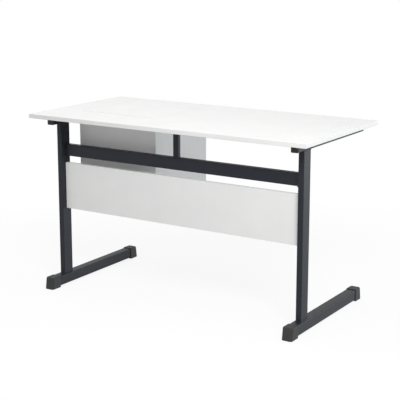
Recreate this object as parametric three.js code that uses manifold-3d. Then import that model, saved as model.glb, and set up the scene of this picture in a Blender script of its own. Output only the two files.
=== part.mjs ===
// Training table on two C-legs, with a flip-up lid in its worktop over a hung compartment.
// Millimetres, +Z up. The user sits on the +Y side and visitors face the -Y side.
// The origin is on the floor, under the middle of the worktop.
import * as THREE from "three";
import { mergeVertices } from "three/addons/utils/BufferGeometryUtils.js";
import Module from "manifold-3d";

const wasm = await Module();
wasm.setup();

// Overall size
const tableLength = 1300;
const tableDepth = 630;
const tableHeight = 760;

// Clearance between pieces that seat on each other, and how far a cut runs past the face it opens
const seatGap = 0.3;
const cutPast = 1;

// Worktop
const topThickness = 18;
const edgeBandThickness = 2;
const edgeBandRadius = 1.5;

// Leg frames, welded from three tubes each
const legInset = 72;
const uprightWidth = 24;
const uprightDepth = 57;
const uprightSetback = 133;
const footSize = 40;
const footHeight = 43;
const footVisitorInset = 11;
const footUserInset = 0;
const armSize = 30;
const armVisitorInset = 50;
const armUserInset = 10;
const tubeWall = 2;
const tubeCornerRadius = 4;
const tubeBoreRadius = 2;
const armScrewRadius = 2.7;
const armAccessRadius = 6;
const armScrewInset = 30;

// Plastic caps on the feet, and the glide pads recessed in them
const capLength = 53;
const capEnd = 13;
const capWall = 2.2;
const capFloor = 1.7;
const capSlope = 7;
const capCornerRadius = 10;
const capEdgeRadius = 5;
const glideProud = 1;
const glideHeight = 3.7;
const glideRadius = 14;
const glideEdge = 1;
const glidePegRadius = 4;

// Plastic plugs in the ends of the top arms
const plugFlange = 4;
const plugDepth = 18;
const plugEdgeRadius = 1.2;

// Cross beam with its end plates, and the post that props the middle of the top
const beamHeight = 50;
const beamDepth = 30;
const beamDrop = 122;
const endPlateThickness = 4;
const endPlateDepth = 48;
const boltHoleRadius = 3.3;
const boltEdge = 9;
const boltSpacing = 28;
const postWidth = 25;
const postDepth = 20;
const postPlateLength = 80;
const postPlateWidth = 40;
const postPlateThickness = 3;
const postPlateRadius = 5;
const postPlateHoleRadius = 2.5;
const postPlateHoleSpacing = 60;

// Modesty panel and its angle brackets
const panelHeight = 200;
const panelThickness = 16;
const panelGap = 30;
const panelSetback = 4;
const panelSideGap = 0.8;
const bracketHeight = 40;
const bracketReach = 40;
const bracketSeat = 14;
const bracketThickness = 2.5;
const bracketInset = 20;
const bracketHoleRadius = 2.5;
const bracketHoleSpacing = 22;
const bracketHoleReach = 28;

// Compartment of five boards, hung under the left half of the worktop on two steel angles
// Its offset is the space between the left arm and the angle beside it
const compartmentWidth = 394;
const compartmentDepth = 386;
const compartmentDrop = 360;
const compartmentOffset = 14;
const compartmentBeamGap = 23;
const boardThickness = 16;
const railSize = 25;
const railThickness = 2;
const railLength = 320;
const railHoleRadius = 2.2;
const railHoleSpacing = 130;
const grommetHoleRadius = 30;
const grommetWall = 3;
const grommetRim = 5;
const grommetRimHeight = 2;
const grommetInset = 60;

// Flip-up lid on two flush hinges
const lidLap = 6;
const lidGap = 2;
const hingeLap = 5;
const hingeGap = 6;
const hingeSpacing = 220;
const leafWidth = 50;
const leafReach = 20;
const leafThickness = 2.2;
const leafCornerRadius = 3;
const leafHoleRadius = 1.6;
const leafSinkRadius = 3.2;
const leafHoleSpacing = 32;
const leafHoleReach = 12;
const barrelRadius = 2.5;
const hingePinRadius = 1.3;
const middleKnuckle = 20;
const lidOpenAngle = 95;

// Monitor plate under the lid
const monitorPlateSize = 120;
const monitorPlateThickness = 3;
const monitorPlateRadius = 8;
const monitorHoleSpacing = 100;
const monitorHoleRadius = 2.5;

// Gas struts between the lid and the side walls; pivots are given from the hinge axis, +Y and -Z
const strutWallGap = 14;
const strutLidReach = 60;
const strutLidDrop = 27.5;
const strutWallReach = 120;
const strutWallDrop = 220;
const strutRodRadius = 4;
const strutCylinderRadius = 9;
const strutHead = 40;
const strutTail = 14;
const strutChamfer = 1;
const strutOverlap = 34;
const strutEyeRadius = 6;
const strutEyeWidth = 8;
const strutPinRadius = 2;
const strutPinEnd = 1;
const lugThickness = 2.5;
const lugRadius = 8;
const lugPlateWidth = 22;
const lugPlateThickness = 2;
const lugHoleRadius = 1.8;
const lugHoleReach = 8.5;
const lugHoleSpacing = 8;
const studFlangeRadius = 8;
const studFlange = 2.5;
const studShankRadius = 3;
const studHeadRadius = 5;
const studHead = 3.5;

// Push latch on the user-side wall
const latchWidth = 24;
const latchDepth = 18;
const latchHeight = 45;
const latchDrop = 7;
const latchHoleRadius = 1.6;
const latchHoleSpacing = 17;
const plungerRadius = 4;
const plungerLength = 35;
const plungerTravel = 5;
const plungerNose = 1.5;
const boreEnd = 2;

// Steps on a quarter turn of tube and plate corners and on a bevel
// Steps on a full turn of holes and of round pieces
const cornerSteps = 4;
const bevelSteps = 3;
const holeSteps = 8;
const roundSteps = 20;

// Heights worked out from the driving dimensions
const topUnder = tableHeight - topThickness;
const carryTop = topUnder - seatGap;
const capRecess = glideHeight + seatGap;
const footUnder = capRecess + capFloor + seatGap;
const footTop = footUnder + footHeight;
const armUnder = carryTop - armSize;
const beamTop = topUnder - beamDrop;
const beamUnder = beamTop - beamHeight;
const panelTop = beamUnder - panelGap;
const panelUnder = panelTop - panelHeight;
const boltLevels = [-boltSpacing / 2, boltSpacing / 2].map((z) => beamUnder + beamHeight / 2 + z);
const bracketLevels = {
  upper: panelTop - bracketInset - bracketHeight / 2,
  lower: panelUnder + bracketInset + bracketHeight / 2,
};
const compartmentUnder = topUnder - compartmentDrop;
const floorTop = compartmentUnder + boardThickness;

// Places along X and Y worked out from the driving dimensions
const legX = tableLength / 2 - legInset;
const legInnerX = legX - uprightWidth / 2;
const uprightY = -tableDepth / 2 + uprightSetback;
const footVisitorY = -tableDepth / 2 + footVisitorInset;
const footUserY = tableDepth / 2 - footUserInset;
const armVisitorY = -tableDepth / 2 + armVisitorInset;
const armUserY = tableDepth / 2 - armUserInset;
const endPlateX = legInnerX - seatGap - endPlateThickness;
const beamY = uprightY + (endPlateDepth - beamDepth) / 2;
const panelY = uprightY + panelSetback;
const panelBackY = panelY + panelThickness / 2;
const bracketY = panelBackY + seatGap;
const armInnerX = legX - armSize / 2;
const compartmentLowX = -armInnerX + compartmentOffset + railSize;
const compartmentHighX = compartmentLowX + compartmentWidth;
const compartmentX = (compartmentLowX + compartmentHighX) / 2;
const compartmentVisitorY = beamY + beamDepth / 2 + compartmentBeamGap;
const compartmentUserY = compartmentVisitorY + compartmentDepth;
const innerVisitorY = compartmentVisitorY + boardThickness;
const innerUserY = compartmentUserY - boardThickness;
const innerHalfWidth = compartmentWidth / 2 - boardThickness;

// The lid, its cut-out in the worktop and the hinge axis
const lidHalfWidth = innerHalfWidth + lidLap;
const lidVisitorY = innerVisitorY - hingeLap;
const lidUserY = innerUserY + lidLap;
const lidMiddleY = (lidVisitorY + lidUserY) / 2;
const hingeAxisY = lidVisitorY - hingeGap / 2;
const hingeAxisZ = tableHeight - barrelRadius;

const finishes = {
  board: { color: 0xf2f2f0, roughness: 0.55, metalness: 0 },
  edge: { color: 0xe9e9e7, roughness: 0.45, metalness: 0 },
  frame: { color: 0x3a3d42, roughness: 0.42, metalness: 0.35 },
  cap: { color: 0x3b3c3d, roughness: 0.6, metalness: 0 },
  glide: { color: 0xd8d8d4, roughness: 0.5, metalness: 0 },
  zinc: { color: 0xb4b7ba, roughness: 0.35, metalness: 0.9 },
  hinge: { color: 0xefefed, roughness: 0.45, metalness: 0.1 },
  strut: { color: 0x26282a, roughness: 0.4, metalness: 0.5 },
  rod: { color: 0xd6d8da, roughness: 0.12, metalness: 1 },
  latch: { color: 0x8d8f91, roughness: 0.5, metalness: 0 },
};

const table = new THREE.Group();

// Adds one named piece of the table
function addPiece(name, geometry, finish) {
  const piece = new THREE.Mesh(geometry, new THREE.MeshStandardMaterial(finish));
  piece.name = name;
  table.add(piece);
  return piece;
}

// A box between two corners, given as a span along each axis
function block([xLow, xHigh], [yLow, yHigh], [zLow, zHigh]) {
  const geometry = new THREE.BoxGeometry(xHigh - xLow, yHigh - yLow, zHigh - zLow);
  return geometry.translate((xLow + xHigh) / 2, (yLow + yHigh) / 2, (zLow + zHigh) / 2);
}

// A closed rectangle with round corners, centred on the origin
function roundedRectangle(path, width, height, radius) {
  const x = width / 2 - radius;
  const y = height / 2 - radius;
  path.absarc(x, y, radius, 0, Math.PI / 2);
  path.absarc(-x, y, radius, Math.PI / 2, Math.PI);
  path.absarc(-x, -y, radius, Math.PI, 1.5 * Math.PI);
  path.absarc(x, -y, radius, 1.5 * Math.PI, 2 * Math.PI);
  path.closePath();
  return path;
}

function circlePath(x, y, radius) {
  return new THREE.Path().absarc(x, y, radius, 0, 2 * Math.PI);
}

// Where the holes of a panel bracket lie along its height, and across the flange on the upright
const bracketHoleOffsets = [-bracketHoleSpacing / 2, bracketHoleSpacing / 2];
const bracketSeatHole = (bracketThickness + bracketSeat) / 2;

// Directions that an extrusion along local Z can be turned to
const unitX = new THREE.Vector3(1, 0, 0);
const unitY = new THREE.Vector3(0, 1, 0);
const unitZ = new THREE.Vector3(0, 0, 1);
const alongX = new THREE.Matrix4().makeBasis(unitY, unitZ, unitX);
const alongY = new THREE.Matrix4().makeBasis(unitX, unitZ, unitY.clone().negate());
const alongZ = new THREE.Matrix4();

// An outline extruded to a length, centred on its middle and turned to a direction
// An arc takes twice as many steps as the number given
function extrude(outline, length, direction, steps = cornerSteps / 2) {
  const options = { depth: length, bevelEnabled: false, curveSegments: steps };
  const geometry = new THREE.ExtrudeGeometry(outline, options);
  return geometry.translate(0, 0, -length / 2).applyMatrix4(direction);
}

// The same with its edges rounded, inside the outline and the length
function extrudeRounded(outline, length, direction, edgeRadius, steps) {
  const options = {
    depth: length - 2 * edgeRadius,
    bevelThickness: edgeRadius,
    bevelSize: edgeRadius,
    bevelOffset: -edgeRadius,
    bevelSegments: bevelSteps,
    curveSegments: steps,
  };
  const geometry = new THREE.ExtrudeGeometry(outline, options);
  return geometry.translate(0, 0, edgeRadius - length / 2).applyMatrix4(direction);
}

// A rectangular tube with round corners, open at both ends
function tube(width, height, length, direction) {
  const outline = roundedRectangle(new THREE.Shape(), width, height, tubeCornerRadius);
  const boreWidth = width - 2 * tubeWall;
  const boreHeight = height - 2 * tubeWall;
  outline.holes.push(roundedRectangle(new THREE.Path(), boreWidth, boreHeight, tubeBoreRadius));
  return extrude(outline, length, direction);
}

// A round rod along Z, X or Y
function rod(radius, length, direction) {
  const outline = new THREE.Shape().absarc(0, 0, radius, 0, 2 * Math.PI);
  return extrude(outline, length, direction, roundSteps / 2);
}

// A drill for a hole through a wall, set at a place
function drill(radius, length, direction, x, y, z) {
  const outline = new THREE.Shape().absarc(0, 0, radius, 0, 2 * Math.PI);
  return extrude(outline, length, direction, holeSteps / 2).translate(x, y, z);
}

// Solids for joins and cuts
function toSolid(geometry) {
  const plain = geometry.clone();
  plain.deleteAttribute("normal");
  plain.deleteAttribute("uv");
  const merged = mergeVertices(plain);
  const vertProperties = new Float32Array(merged.attributes.position.array);
  const triVerts = new Uint32Array(merged.index.array);
  return new wasm.Manifold(new wasm.Mesh({ numProp: 3, vertProperties, triVerts }));
}

function toGeometry(solid) {
  const mesh = solid.getMesh();
  const geometry = new THREE.BufferGeometry();
  geometry.setAttribute("position", new THREE.BufferAttribute(mesh.vertProperties, mesh.numProp));
  geometry.setIndex(new THREE.BufferAttribute(mesh.triVerts, 1));
  geometry.computeVertexNormals();
  return geometry;
}

function join(first, ...others) {
  return toGeometry(others.reduce((solid, other) => solid.add(toSolid(other)), toSolid(first)));
}

function cut(first, ...others) {
  return toGeometry(others.reduce((solid, other) => solid.subtract(toSolid(other)), toSolid(first)));
}

// Worktop board with the lid's cut-out and a shallow pocket for each fixed hinge leaf
const hingeXs = [compartmentX - hingeSpacing / 2, compartmentX + hingeSpacing / 2];
const pocketHalf = leafWidth / 2 + seatGap;
const pocketFloor = tableHeight - leafThickness - seatGap;
const pocketSpanZ = [pocketFloor, tableHeight + cutPast];

function leafPocket(x, yLow, yHigh) {
  return block([x - pocketHalf, x + pocketHalf], [yLow, yHigh], pocketSpanZ);
}

function addWorktop() {
  const edge = edgeBandThickness + seatGap;
  const board = block(
    [edge - tableLength / 2, tableLength / 2 - edge],
    [edge - tableDepth / 2, tableDepth / 2 - edge],
    [topUnder, tableHeight],
  );
  const cutVisitorY = lidVisitorY - hingeGap;
  const opening = block(
    [compartmentX - lidHalfWidth - lidGap, compartmentX + lidHalfWidth + lidGap],
    [cutVisitorY, lidUserY + lidGap],
    [topUnder - cutPast, tableHeight + cutPast],
  );
  const pocketEnd = cutVisitorY - leafReach - seatGap;
  const pockets = hingeXs.map((x) => leafPocket(x, pocketEnd, cutVisitorY + cutPast));
  addPiece("table_top", cut(board, opening, ...pockets), finishes.board);
}

// Plastic strips on the worktop's four edges, with their outer arrises rounded
function edgeBand(length) {
  const outline = new THREE.Shape();
  const inner = edgeBandThickness - edgeBandRadius;
  outline.moveTo(0, 0);
  outline.absarc(inner, edgeBandRadius, edgeBandRadius, -Math.PI / 2, 0);
  outline.absarc(inner, topThickness - edgeBandRadius, edgeBandRadius, 0, Math.PI / 2);
  outline.lineTo(0, topThickness);
  outline.closePath();
  return extrude(outline, length, alongY);
}

function addEdgeBands() {
  const shortLength = tableDepth - 2 * edgeBandThickness - 2 * seatGap;
  const sides = [
    ["right", shortLength, tableLength / 2, 0],
    ["user", tableLength, tableDepth / 2, Math.PI / 2],
    ["left", shortLength, tableLength / 2, Math.PI],
    ["visitor", tableLength, tableDepth / 2, -Math.PI / 2],
  ];
  for (const [side, length, reach, turn] of sides) {
    const band = addPiece(`edge_band_${side}`, edgeBand(length), finishes.edge);
    band.rotation.z = turn;
    const inset = reach - edgeBandThickness;
    band.position.set(inset * Math.cos(turn), inset * Math.sin(turn), topUnder);
  }
}

// Foot cap: a sleeve with a rounded end that leans back, drawn with its toe at y = 0 and its mouth at +Y
function footCap() {
  const width = footSize + 2 * (seatGap + capWall);
  const height = footTop + seatGap + capWall - glideProud;
  const low = glideProud;
  const outline = new THREE.Shape();
  const corner = width / 2 - capCornerRadius;
  const backY = capLength + capSlope + capEdgeRadius;
  outline.moveTo(width / 2, backY);
  outline.lineTo(-width / 2, backY);
  outline.absarc(-corner, capCornerRadius, capCornerRadius, Math.PI, 1.5 * Math.PI);
  outline.absarc(corner, capCornerRadius, capCornerRadius, 1.5 * Math.PI, 2 * Math.PI);
  outline.closePath();
  const blockHeight = height + 2 * capEdgeRadius;
  const shell = extrudeRounded(outline, blockHeight, alongZ, capEdgeRadius, cornerSteps / 2);
  shell.translate(0, 0, height - blockHeight / 2);
  shell.applyMatrix4(new THREE.Matrix4().makeShear(0, 0, 0, 0, 0, capSlope / height));
  shell.translate(0, 0, low);

  const below = block([-width, width], [-width, 2 * backY], [low - blockHeight, low]);
  const behind = block([-width, width], [capLength, 2 * backY], [low - cutPast, 2 * blockHeight]);
  const socketWidth = footSize + 2 * seatGap;
  const socketHeight = footHeight + 2 * seatGap;
  const socketRadius = tubeCornerRadius + seatGap;
  const socketOutline = roundedRectangle(new THREE.Shape(), socketWidth, socketHeight, socketRadius);
  const socket = extrude(socketOutline, capLength, alongY);
  socket.translate(0, capEnd + capLength / 2, (footUnder + footTop) / 2);
  const recess = rod(glideRadius + seatGap, 2 * (capRecess - low), alongZ);
  recess.translate(0, capLength / 2, low);
  const pegHole = rod(glidePegRadius + seatGap, 2 * capFloor, alongZ);
  pegHole.translate(0, capLength / 2, capRecess + capFloor / 2);
  return cut(shell, below, behind, socket, recess, pegHole);
}

// Glide pad: a low disc with a rounded rim and a peg that presses up into the cap's floor
function glidePad() {
  const pegTop = glideHeight + capFloor;
  const profile = [
    [0, 0],
    [glideRadius - glideEdge, 0],
    [glideRadius, glideEdge],
    [glideRadius, glideHeight],
    [glidePegRadius, glideHeight],
    [glidePegRadius, pegTop],
    [0, pegTop],
  ].map(([radius, height]) => new THREE.Vector2(radius, height));
  return new THREE.LatheGeometry(profile, roundSteps).rotateX(Math.PI / 2);
}

// Plug in the end of a top arm: a flange over the tube's end and a block inside the bore
function armPlug() {
  const flange = extrudeRounded(
    roundedRectangle(new THREE.Shape(), armSize, armSize, tubeCornerRadius),
    plugFlange,
    alongY,
    plugEdgeRadius,
    cornerSteps / 2,
  );
  const insertSize = armSize - 2 * tubeWall - 2 * seatGap;
  const insertOutline = roundedRectangle(new THREE.Shape(), insertSize, insertSize, tubeBoreRadius);
  const insert = extrude(insertOutline, plugDepth, alongY).translate(0, plugDepth / 2, 0);
  return join(flange, insert);
}

// Holes in an upright's inner wall, in line with those of the beam's end plate and the panel's brackets
function uprightHoles(side, middleZ) {
  const wallX = (-side * (uprightWidth - tubeWall)) / 2;
  const reach = tubeWall + 2 * cutPast;
  const boltY = boltEdge - endPlateDepth / 2;
  const bracketHoleY = bracketY + bracketSeatHole - uprightY;
  const bolts = boltLevels.map((z) => drill(boltHoleRadius, reach, alongX, wallX, boltY, z - middleZ));
  const screws = Object.values(bracketLevels).flatMap((level) =>
    bracketHoleOffsets.map((offset) =>
      drill(bracketHoleRadius, reach, alongX, wallX, bracketHoleY, level + offset - middleZ),
    ),
  );
  return [...bolts, ...screws];
}

// Screw holes in an arm's upper wall, each with a wider hole below it for the screwdriver
function armHoles(armLength) {
  const end = armLength / 2 - armScrewInset;
  return [-end, 0, end].flatMap((y) => [
    drill(armScrewRadius, armSize, alongZ, 0, y, armSize / 2),
    drill(armAccessRadius, armSize, alongZ, 0, y, -armSize / 2),
  ]);
}

// One leg frame with its caps, glides and plugs; side is -1 on the left and +1 on the right
function addLeg(sideName, side) {
  const x = side * legX;
  const capSeat = capEnd + seatGap;
  const footLength = footUserY - footVisitorY - 2 * capSeat;
  const footTube = tube(footSize, footHeight, footLength, alongY);
  const foot = addPiece(`${sideName}_foot_tube`, footTube, finishes.frame);
  foot.position.set(x, (footUserY + footVisitorY) / 2, footUnder + footHeight / 2);

  const uprightLow = footTop + seatGap;
  const uprightLength = armUnder - seatGap - uprightLow;
  const uprightTube = tube(uprightWidth, uprightDepth, uprightLength, alongZ);
  const uprightMiddle = uprightLow + uprightLength / 2;
  const holes = uprightHoles(side, uprightMiddle);
  const upright = addPiece(`${sideName}_upright`, cut(uprightTube, ...holes), finishes.frame);
  upright.position.set(x, uprightY, uprightMiddle);

  const armLength = armUserY - armVisitorY - 2 * (plugFlange + seatGap);
  const armTube = tube(armSize, armSize, armLength, alongY);
  const arm = addPiece(`${sideName}_top_arm`, cut(armTube, ...armHoles(armLength)), finishes.frame);
  arm.position.set(x, (armUserY + armVisitorY) / 2, armUnder + armSize / 2);

  const ends = [
    ["visitor", footVisitorY, armVisitorY, 0],
    ["user", footUserY, armUserY, Math.PI],
  ];
  for (const [endName, footY, armY, turn] of ends) {
    const inward = Math.cos(turn);
    const cap = addPiece(`${sideName}_foot_cap_${endName}`, footCap(), finishes.cap);
    cap.position.set(x, footY, 0);
    cap.rotation.z = turn;
    const glide = addPiece(`${sideName}_glide_${endName}`, glidePad(), finishes.glide);
    glide.position.set(x, footY + (inward * capLength) / 2, 0);
    const plug = addPiece(`${sideName}_arm_plug_${endName}`, armPlug(), finishes.cap);
    plug.position.set(x, armY + (inward * plugFlange) / 2, armUnder + armSize / 2);
    plug.rotation.z = turn;
  }
}

// Cross beam between the uprights, bolted on by an end plate at each side
function addBeam() {
  const beamHalf = endPlateX - seatGap;
  const beam = addPiece("cross_beam", tube(beamDepth, beamHeight, 2 * beamHalf, alongX), finishes.frame);
  beam.position.set(0, beamY, beamUnder + beamHeight / 2);

  for (const [sideName, side] of [["left", -1], ["right", 1]]) {
    const outline = roundedRectangle(new THREE.Shape(), endPlateDepth, beamHeight, tubeCornerRadius);
    for (const boltZ of [-boltSpacing / 2, boltSpacing / 2]) {
      outline.holes.push(circlePath(boltEdge - endPlateDepth / 2, boltZ, boltHoleRadius));
    }
    const plateGeometry = extrude(outline, endPlateThickness, alongX, holeSteps / 2);
    const plate = addPiece(`beam_end_plate_${sideName}`, plateGeometry, finishes.frame);
    plate.position.set(side * (endPlateX + endPlateThickness / 2), uprightY, beamUnder + beamHeight / 2);
  }
}

// Centre post and the plate on its head
function addPost() {
  const plateUnder = carryTop - postPlateThickness;
  const postLow = beamTop + seatGap;
  const postLength = plateUnder - seatGap - postLow;
  const post = addPiece("centre_post", tube(postWidth, postDepth, postLength, alongZ), finishes.frame);
  post.position.set(0, beamY, postLow + postLength / 2);

  const outline = roundedRectangle(new THREE.Shape(), postPlateLength, postPlateWidth, postPlateRadius);
  for (const holeX of [-postPlateHoleSpacing / 2, postPlateHoleSpacing / 2]) {
    outline.holes.push(circlePath(holeX, 0, postPlateHoleRadius));
  }
  const plateGeometry = extrude(outline, postPlateThickness, alongZ, holeSteps / 2);
  const plate = addPiece("centre_post_plate", plateGeometry, finishes.frame);
  plate.position.set(0, beamY, plateUnder + postPlateThickness / 2);
}

// Modesty panel, held to the uprights by an angle bracket behind each corner
function addPanel() {
  const half = legInnerX - panelSideGap;
  const spanY = [panelY - panelThickness / 2, panelBackY];
  addPiece("modesty_panel", block([-half, half], spanY, [panelUnder, panelTop]), finishes.board);

  const bracketX = legInnerX - seatGap;
  for (const [sideName, side] of [["left", -1], ["right", 1]]) {
    const outline = new THREE.Shape();
    outline.moveTo(0, 0);
    outline.lineTo(0, bracketSeat);
    outline.lineTo(-side * bracketThickness, bracketSeat);
    outline.lineTo(-side * bracketThickness, bracketThickness);
    outline.lineTo(-side * bracketReach, bracketThickness);
    outline.lineTo(-side * bracketReach, 0);
    outline.closePath();
    const reach = bracketThickness + 2 * cutPast;
    const middle = bracketThickness / 2;
    const holes = bracketHoleOffsets.flatMap((z) => [
      drill(bracketHoleRadius, reach, alongX, -side * middle, bracketSeatHole, z),
      drill(bracketHoleRadius, reach, alongY, -side * bracketHoleReach, middle, z),
    ]);
    for (const [levelName, z] of Object.entries(bracketLevels)) {
      const bracketGeometry = cut(extrude(outline, bracketHeight, alongZ), ...holes);
      const bracket = addPiece(`panel_bracket_${sideName}_${levelName}`, bracketGeometry, finishes.zinc);
      bracket.position.set(side * bracketX, bracketY, z);
    }
  }
}

// Compartment boards: visitor and user walls run the full width, the side walls and floor fit between
function addCompartment() {
  const wallZ = [compartmentUnder, carryTop];
  const fullX = [compartmentLowX, compartmentHighX];
  const betweenY = [innerVisitorY + seatGap, innerUserY - seatGap];
  const visitorY = [compartmentVisitorY, innerVisitorY];
  const userY = [innerUserY, compartmentUserY];
  const leftX = [compartmentLowX, compartmentLowX + boardThickness];
  const rightX = [compartmentHighX - boardThickness, compartmentHighX];
  addPiece("compartment_wall_visitor", block(fullX, visitorY, wallZ), finishes.board);
  addPiece("compartment_wall_user", block(fullX, userY, wallZ), finishes.board);
  addPiece("compartment_wall_left", block(leftX, betweenY, wallZ), finishes.board);
  addPiece("compartment_wall_right", block(rightX, betweenY, wallZ), finishes.board);

  const floorHalf = innerHalfWidth - seatGap;
  const floorX = [compartmentX - floorHalf, compartmentX + floorHalf];
  const grommetY = innerVisitorY + grommetInset;
  const cableHole = rod(grommetHoleRadius, 4 * boardThickness, alongZ);
  cableHole.translate(compartmentX, grommetY, floorTop);
  const floorBoard = block(floorX, betweenY, [compartmentUnder, floorTop]);
  addPiece("compartment_floor", cut(floorBoard, cableHole), finishes.board);

  const grommet = addPiece("cable_grommet", grommetRing(), finishes.cap);
  grommet.position.set(compartmentX, grommetY, floorTop);
}

// Cable grommet: a sleeve in the floor's hole with a rim that rests on the floor
function grommetRing() {
  const sleeve = grommetHoleRadius - seatGap;
  const bore = sleeve - grommetWall;
  const rim = grommetHoleRadius + grommetRim;
  const rimTop = seatGap + grommetRimHeight;
  const profile = [
    [bore, -boardThickness],
    [sleeve, -boardThickness],
    [sleeve, seatGap],
    [rim, seatGap],
    [rim - grommetRimHeight / 2, rimTop],
    [bore, rimTop],
    [bore, -boardThickness],
  ].map(([radius, height]) => new THREE.Vector2(radius, height));
  return new THREE.LatheGeometry(profile, roundSteps).rotateX(Math.PI / 2);
}

// Steel angles that hang the compartment under the worktop, along its side walls
function addRails() {
  const sides = [
    ["left", -1, compartmentLowX - seatGap],
    ["right", 1, compartmentHighX + seatGap],
  ];
  const flangeMiddle = (railSize + railThickness) / 2;
  for (const [sideName, side, x] of sides) {
    const outline = new THREE.Shape();
    outline.moveTo(0, 0);
    outline.lineTo(side * railSize, 0);
    outline.lineTo(side * railSize, -railThickness);
    outline.lineTo(side * railThickness, -railThickness);
    outline.lineTo(side * railThickness, -railSize);
    outline.lineTo(0, -railSize);
    outline.closePath();
    const reach = railThickness + 2 * cutPast;
    const holes = [-railHoleSpacing, 0, railHoleSpacing].flatMap((y) => [
      drill(railHoleRadius, reach, alongZ, side * flangeMiddle, y, -railThickness / 2),
      drill(railHoleRadius, reach, alongX, (side * railThickness) / 2, y, -flangeMiddle),
    ]);
    const angle = cut(extrude(outline, railLength, alongY), ...holes);
    const rail = addPiece(`compartment_rail_${sideName}`, angle, finishes.zinc);
    rail.position.set(x, (compartmentVisitorY + compartmentUserY) / 2, carryTop);
  }
}

// Lid board with a pocket for each lid leaf
function addLid() {
  const board = block(
    [compartmentX - lidHalfWidth, compartmentX + lidHalfWidth],
    [lidVisitorY, lidUserY],
    [topUnder, tableHeight],
  );
  const pocketEnd = lidVisitorY + leafReach + seatGap;
  const pockets = hingeXs.map((x) => leafPocket(x, lidVisitorY - cutPast, pocketEnd));
  addPiece("lid", cut(board, ...pockets), finishes.board);
}

// Hinge leaf with knuckles at the given spans along X, drawn from the axis towards +Y
function hingeLeaf(knuckleSpans) {
  const leafUnder = barrelRadius - leafThickness;
  const plateStart = hingeGap / 2;
  const plateOutline = roundedRectangle(new THREE.Shape(), leafWidth, leafReach, leafCornerRadius);
  const plate = extrude(plateOutline, leafThickness, alongZ);
  plate.translate(0, plateStart + leafReach / 2, leafUnder + leafThickness / 2);
  const knuckles = knuckleSpans.map(([low, high]) => {
    const neck = plateStart + leafReach / 2;
    const outline = new THREE.Shape();
    outline.moveTo(neck, barrelRadius);
    outline.lineTo(0, barrelRadius);
    const wrapEnd = 2 * Math.PI + Math.asin(leafUnder / barrelRadius);
    outline.absarc(0, 0, barrelRadius, Math.PI / 2, wrapEnd);
    outline.lineTo(neck, leafUnder);
    outline.closePath();
    outline.holes.push(circlePath(0, 0, hingePinRadius + seatGap));
    return extrude(outline, high - low, alongX, holeSteps / 2).translate((low + high) / 2, 0, 0);
  });
  const holes = [-leafHoleSpacing / 2, leafHoleSpacing / 2].map((x) =>
    sinkDrill(leafUnder).translate(x, plateStart + leafHoleReach, 0),
  );
  return cut(join(plate, ...knuckles), ...holes);
}

// A drill for a countersunk screw, from below a leaf to above its upper face
function sinkDrill(leafUnder) {
  const sinkStart = barrelRadius - (leafSinkRadius - leafHoleRadius);
  const profile = [
    [0, leafUnder - cutPast],
    [leafHoleRadius, leafUnder - cutPast],
    [leafHoleRadius, sinkStart],
    [leafSinkRadius, barrelRadius],
    [leafSinkRadius, barrelRadius + cutPast],
    [0, barrelRadius + cutPast],
  ].map(([radius, height]) => new THREE.Vector2(radius, height));
  return new THREE.LatheGeometry(profile, holeSteps).rotateX(Math.PI / 2);
}

// Flush hinges: the fixed leaf has the outer knuckles and the lid leaf the middle one
function addHinges() {
  const outerStart = middleKnuckle / 2 + seatGap;
  const outerEnd = leafWidth / 2;
  const outerSpans = [[-outerEnd, -outerStart], [outerStart, outerEnd]];
  const middleSpans = [[-middleKnuckle / 2, middleKnuckle / 2]];
  for (const [index, sideName] of ["left", "right"].entries()) {
    const place = [hingeXs[index], hingeAxisY, hingeAxisZ];
    const topLeaf = addPiece(`hinge_leaf_top_${sideName}`, hingeLeaf(outerSpans), finishes.hinge);
    topLeaf.rotation.z = Math.PI;
    topLeaf.position.set(...place);
    const lidLeaf = addPiece(`hinge_leaf_lid_${sideName}`, hingeLeaf(middleSpans), finishes.hinge);
    lidLeaf.position.set(...place);
    const pinGeometry = rod(hingePinRadius, leafWidth - 2 * seatGap, alongX);
    addPiece(`hinge_pin_${sideName}`, pinGeometry, finishes.hinge).position.set(...place);
  }
}

// Monitor plate screwed under the lid, with a square pattern of holes
function addMonitorPlate() {
  const size = monitorPlateSize;
  const outline = roundedRectangle(new THREE.Shape(), size, size, monitorPlateRadius);
  for (const holeX of [-monitorHoleSpacing / 2, monitorHoleSpacing / 2]) {
    for (const holeY of [-monitorHoleSpacing / 2, monitorHoleSpacing / 2]) {
      outline.holes.push(circlePath(holeX, holeY, monitorHoleRadius));
    }
  }
  const plateGeometry = extrude(outline, monitorPlateThickness, alongZ, holeSteps / 2);
  const plate = addPiece("monitor_plate", plateGeometry, finishes.frame);
  plate.position.set(compartmentX, lidMiddleY, carryTop - monitorPlateThickness / 2);
}

// Gas strut: shut and open lengths follow from the two pivots and the lid's opening angle
const openAngle = THREE.MathUtils.degToRad(lidOpenAngle);
const wallPivot = new THREE.Vector2(strutWallReach, -strutWallDrop);
const lidPivotShut = new THREE.Vector2(strutLidReach, -strutLidDrop);
const lidPivotOpen = lidPivotShut.clone().rotateAround(new THREE.Vector2(), openAngle);
const strutShut = wallPivot.distanceTo(lidPivotShut);
const strutStroke = wallPivot.distanceTo(lidPivotOpen) - strutShut;
const strutTilt = Math.atan2(strutWallReach - strutLidReach, strutWallDrop - strutLidDrop);
const rodEnd = strutHead + strutStroke + strutOverlap;
const cylinderEnd = strutShut - strutTail;

// An eye across the strut's axis, at a distance below its upper pivot
function strutEye(below) {
  return rod(strutEyeRadius, strutEyeWidth, alongX).translate(0, 0, -below);
}

function strutRod() {
  const shank = rod(strutRodRadius, rodEnd, alongZ).translate(0, 0, -rodEnd / 2);
  const bore = rod(strutPinRadius + seatGap, 2 * strutEyeWidth, alongX);
  return cut(join(shank, strutEye(0)), bore);
}

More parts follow.
